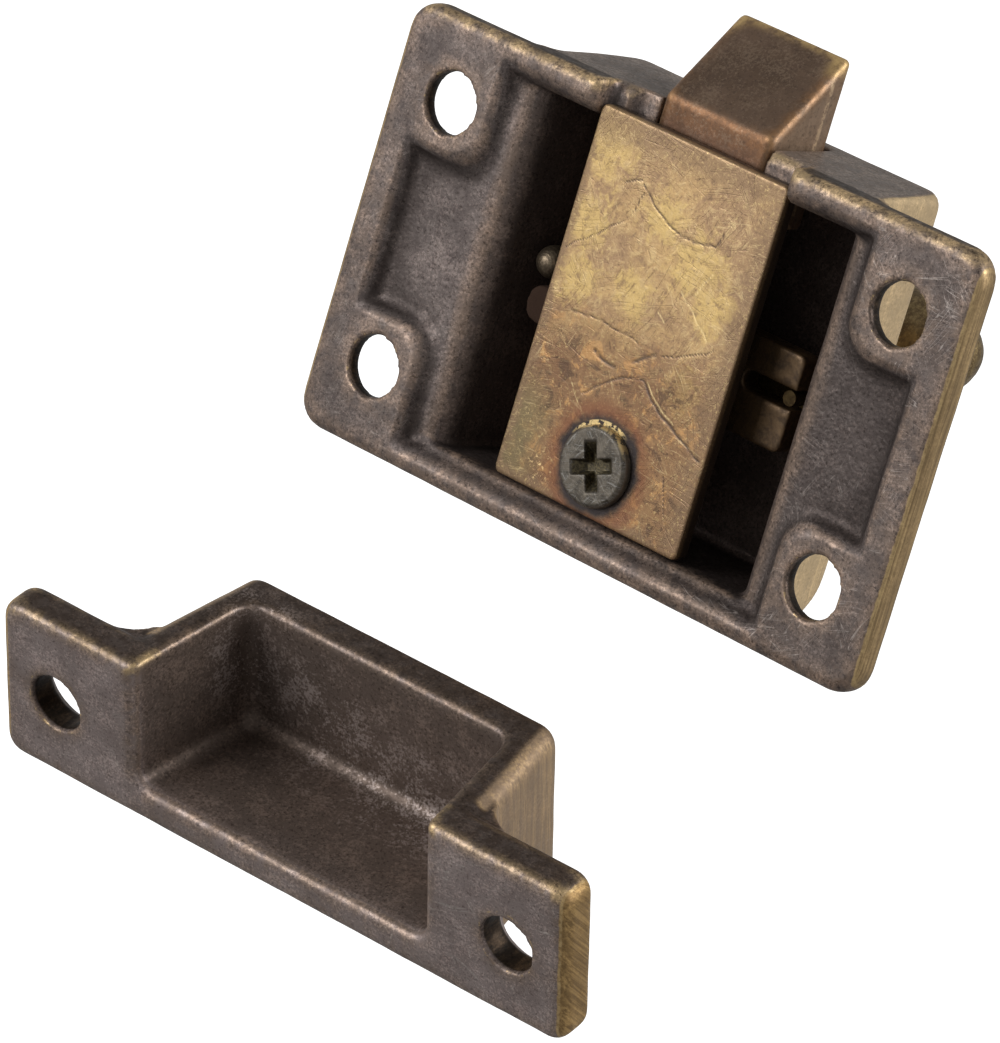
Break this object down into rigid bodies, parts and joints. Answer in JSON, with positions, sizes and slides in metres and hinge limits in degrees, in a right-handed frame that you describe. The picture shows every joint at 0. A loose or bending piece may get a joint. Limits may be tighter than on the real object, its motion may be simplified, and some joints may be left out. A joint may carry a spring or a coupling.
{
  "type": "cabinet latch",
  "caption": "Cupboard turn latch: cast case with a bevelled spring bolt, oval turn knob on the front and cover strip on the back, with its matching box strike.",
  "frame": {"origin": "centre of the four screw holes on the back plane of the latch", "axes": "+X the way the bolt shoots, +Y out of the back plane toward the door, +Z along the plate's length"},
  "size_m": [0.0666, 0.069, 0.0594],
  "materials": {
    "bronze": "dark antique patina, rubbed on the rims",
    "strip_brass": "mottled and scratched brass sheet",
    "screw_steel": "black oxide",
    "bolt_bronze": "brown bronze with worn gold edges",
    "spring_steel": "drawn wire",
    "worn_brass": "rubbed antique brass"
  },
  "bodies": {
    "case": {"case": "bronze", "stop_pin": "worn_brass", "cover_strip": "strip_brass", "strip_screw": "screw_steel", "bolt_spring": "spring_steel", "strike": "bronze"},
    "knob": {"knob": "worn_brass", "crank": "worn_brass"},
    "bolt": {"bolt": "bolt_bronze"}
  },
  "joints": [
    {"name": "knob_turn", "type": "hinge", "parent": "case", "child": "knob", "pos_m": [0, 0, 0], "axis": [0, -1, 0], "range_deg": [0, 34.4], "stiffness_Nm_per_rad": 0.03, "springref_deg": -17.19},
    {"name": "bolt_slide", "type": "slide", "parent": "case", "child": "bolt", "axis": [-1, 0, 0], "range_m": [0, 0.00687], "deforming": ["bolt_spring"]}
  ],
  "couplings": [
    {"joint": "knob_turn", "follows": "bolt_slide", "rad_per_m": 87.3}
  ]
}
